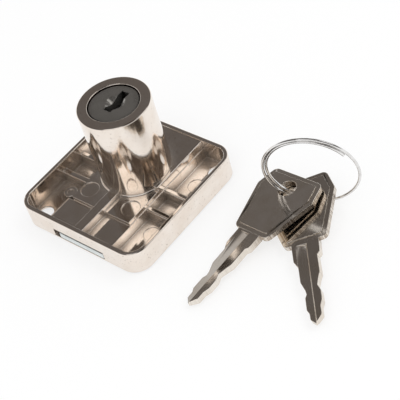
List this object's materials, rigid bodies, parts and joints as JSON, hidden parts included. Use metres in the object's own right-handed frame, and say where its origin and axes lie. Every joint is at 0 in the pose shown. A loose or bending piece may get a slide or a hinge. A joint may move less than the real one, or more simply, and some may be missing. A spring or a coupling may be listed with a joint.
{
  "type": "rim lock",
  "caption": "Drawer rim lock: square cast tray with a round key barrel, a flat sliding bolt, a turning plug with sprung wafers, and flat keys on a split ring.",
  "frame": {"origin": "on the barrel's axis, in the plane of the case's open rim, which lies against the drawer front", "axes": "+Z along the barrel, out of the front; -Y is the way the bolt comes out; +X to the right of the bolt seen from the barrel side"},
  "size_m": [0.0875, 0.0466, 0.0291],
  "materials": {
    "nickel_casting": "bright nickel plating on zinc casting",
    "zinc_plate": "blue zinc plating",
    "black_nickel": "satin black nickel",
    "brass": "stamped",
    "spring_steel": "drawn",
    "nickel_brass": "nickel plating on stamped brass",
    "steel_wire": "nickel-plated steel wire"
  },
  "bodies": {
    "housing": {"housing": "nickel_casting"},
    "bolt": {"bolt": "zinc_plate"},
    "plug": {"plug": "black_nickel", "wafer_spring_1": "spring_steel", "wafer_spring_2": "spring_steel", "wafer_spring_3": "spring_steel", "wafer_spring_4": "spring_steel", "wafer_spring_5": "spring_steel", "wafer_spring_6": "spring_steel", "wafer_spring_7": "spring_steel", "wafer_spring_8": "spring_steel", "retaining_spring": "spring_steel"},
    "wafer_1": {"wafer_1": "brass"},
    "wafer_2": {"wafer_2": "brass"},
    "wafer_3": {"wafer_3": "brass"},
    "wafer_4": {"wafer_4": "brass"},
    "wafer_5": {"wafer_5": "brass"},
    "wafer_6": {"wafer_6": "brass"},
    "wafer_7": {"wafer_7": "brass"},
    "wafer_8": {"wafer_8": "brass"},
    "retaining_wafer": {"retaining_wafer": "brass"},
    "split_ring": {"split_ring": "steel_wire"},
    "key_1": {"key_1": "nickel_brass"},
    "key_2": {"key_2": "nickel_brass"}
  },
  "joints": [
    {"name": "plug_turn", "type": "hinge", "parent": "housing", "child": "plug", "pos_m": [0, 0, 0], "axis": [0, 0, -1], "range_deg": [0, 180]},
    {"name": "bolt_slide", "type": "slide", "parent": "housing", "child": "bolt", "axis": [0, -1, 0], "range_m": [0, 0.008]},
    {"name": "wafer_1_slide", "type": "slide", "parent": "plug", "child": "wafer_1", "axis": [0, 1, 0], "range_m": [0, 0.0007]},
    {"name": "wafer_2_slide", "type": "slide", "parent": "plug", "child": "wafer_2", "axis": [0, -1, 0], "range_m": [0, 0.0007]},
    {"name": "wafer_3_slide", "type": "slide", "parent": "plug", "child": "wafer_3", "axis": [0, 1, 0], "range_m": [0, 0.0007]},
    {"name": "wafer_4_slide", "type": "slide", "parent": "plug", "child": "wafer_4", "axis": [0, -1, 0], "range_m": [0, 0.0007]},
    {"name": "wafer_5_slide", "type": "slide", "parent": "plug", "child": "wafer_5", "axis": [0, 1, 0], "range_m": [0, 0.0007]},
    {"name": "wafer_6_slide", "type": "slide", "parent": "plug", "child": "wafer_6", "axis": [0, -1, 0], "range_m": [0, 0.0007]},
    {"name": "wafer_7_slide", "type": "slide", "parent": "plug", "child": "wafer_7", "axis": [0, 1, 0], "range_m": [0, 0.0007]},
    {"name": "wafer_8_slide", "type": "slide", "parent": "plug", "child": "wafer_8", "axis": [0, -1, 0], "range_m": [0, 0.0007]},
    {"name": "retaining_wafer_slide", "type": "slide", "parent": "plug", "child": "retaining_wafer", "axis": [0, 1, 0], "range_m": [-0.00065, 0]},
    {"name": "ring_lift", "type": "slide", "parent": "housing", "child": "split_ring", "axis": [0, 0, 1], "range_m": [0, 0.06]},
    {"name": "key_1_swing", "type": "hinge", "parent": "split_ring", "child": "key_1", "pos_m": [0.03983, 0.01173, -0.00167], "axis": [0, 0, 1], "range_deg": [-1, 15]},
    {"name": "key_2_swing", "type": "hinge", "parent": "split_ring", "child": "key_2", "pos_m": [0.04215, 0.01272, -0.00367], "axis": [0, 0, 1], "range_deg": [-15, 1]}
  ],
  "couplings": [
    {"joint": "plug_turn", "follows": "bolt_slide", "rad_per_m": 392.7}
  ]
}
